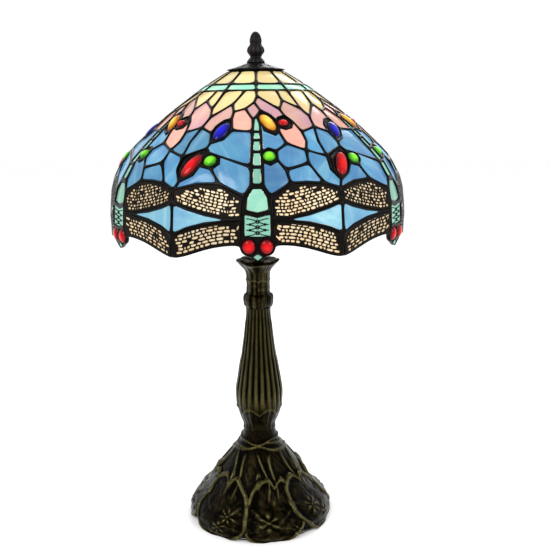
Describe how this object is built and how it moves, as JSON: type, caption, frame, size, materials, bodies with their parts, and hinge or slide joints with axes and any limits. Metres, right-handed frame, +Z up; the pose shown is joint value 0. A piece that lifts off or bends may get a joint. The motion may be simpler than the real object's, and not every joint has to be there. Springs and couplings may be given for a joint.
{
  "type": "stained glass table lamp",
  "caption": "Free-standing table lamp with a domed leaded-glass dragonfly shade on a harp, over a fluted cast stem and leaf-relief foot.",
  "frame": {"origin": "centre of the lamp's underside, on the surface it stands on", "axes": "+Z up along the stem; the front dragonfly of the shade faces -Y; +X to the right seen from the front"},
  "size_m": [0.3028, 0.3048, 0.5079],
  "materials": {
    "felt": "woollen felt",
    "steel": "zinc plated",
    "cast_iron": "rough cast",
    "bronze": "cast zinc alloy with antique bronze patina",
    "rubber": "moulded",
    "brass": "satin",
    "paper": "vulcanised fibre",
    "phenolic": "moulded phenolic",
    "bulb_glass": "clear",
    "filament": "coated LED filament",
    "solder": "black patina on solder",
    "filigree": "pierced brass with black patina",
    "cream_glass": "streaky opalescent",
    "petal_glass": "streaky opalescent",
    "mint_glass": "streaky opalescent",
    "rose_glass": "streaky opalescent",
    "peach_glass": "streaky opalescent",
    "sky_glass": "streaky opalescent",
    "gap_glass": "streaky opalescent",
    "green_glass": "opalescent",
    "wing_glass": "opalescent",
    "red_jewel": "polished cabochon",
    "amber_jewel": "polished cabochon",
    "cobalt_jewel": "polished cabochon",
    "green_jewel": "polished cabochon",
    "dark_metal": "dark bronze"
  },
  "bodies": {
    "stand": {"felt_pad": "felt", "bottom_plate": "steel", "plate_screws": "steel", "ballast_weight": "cast_iron", "foot_casting": "bronze", "cord_bushing": "rubber", "base_nut": "brass", "base_washer": "steel", "threaded_pipe": "steel", "stem_casting": "bronze", "stem_collar": "bronze", "drip_cup": "bronze", "harp_saddle": "bronze", "saddle_nut": "brass", "harp_wire": "bronze", "harp_stud": "brass", "socket_cap": "bronze", "socket_shell": "brass", "socket_liner": "paper", "socket_core": "phenolic", "screw_shell": "brass", "centre_contact": "brass"},
    "shade": {"shade_wheel": "brass", "shade_top_ring": "brass", "solder_lattice": "solder", "cream_top_glass": "cream_glass", "mint_band_glass": "mint_glass", "cream_petal_glass": "petal_glass", "rose_glass": "rose_glass", "peach_glass": "peach_glass", "sky_glass": "sky_glass", "wing_gap_glass": "gap_glass", "tail_glass": "green_glass", "abdomen_glass": "green_glass", "thorax_glass": "green_glass", "nose_glass": "green_glass", "upper_wing_glass": "wing_glass", "lower_wing_glass": "wing_glass", "upper_wing_filigree": "filigree", "lower_wing_filigree": "filigree", "thorax_filigree": "filigree", "eye_jewels": "red_jewel", "amber_jewels": "amber_jewel", "cobalt_jewels": "cobalt_jewel", "green_jewels": "green_jewel", "large_red_jewels": "red_jewel", "small_red_jewels": "red_jewel", "vented_cap": "dark_metal"},
    "finial": {"finial": "dark_metal", "finial_insert": "brass"},
    "bulb": {"bulb_glass": "bulb_glass", "bulb_base": "steel", "bulb_stem": "bulb_glass", "bulb_filaments": "filament"},
    "switch_key": {"switch_key": "phenolic"},
    "sleeve_front": {"harp_sleeve_front": "bronze"},
    "sleeve_back": {"harp_sleeve_back": "bronze"}
  },
  "joints": [
    {"name": "shade_turn", "type": "hinge", "parent": "stand", "child": "shade", "pos_m": [0, 0, 0.4622], "axis": [0, 0, 1], "continuous": true},
    {"name": "finial_turn", "type": "hinge", "parent": "stand", "child": "finial", "pos_m": [0, 0, 0.4779], "axis": [0, 0, 1], "continuous": true},
    {"name": "bulb_turn", "type": "hinge", "parent": "stand", "child": "bulb", "pos_m": [0, 0, 0.35], "axis": [0, 0, 1], "continuous": true},
    {"name": "switch_key_turn", "type": "hinge", "parent": "stand", "child": "switch_key", "pos_m": [0.02, 0, 0.3145], "axis": [1, 0, 0], "continuous": true},
    {"name": "sleeve_front_lift", "type": "slide", "parent": "stand", "child": "sleeve_front", "axis": [0, 0, 1], "range_m": [0, 0.012]},
    {"name": "sleeve_back_lift", "type": "slide", "parent": "stand", "child": "sleeve_back", "axis": [0, 0, 1], "range_m": [0, 0.012]}
  ]
}
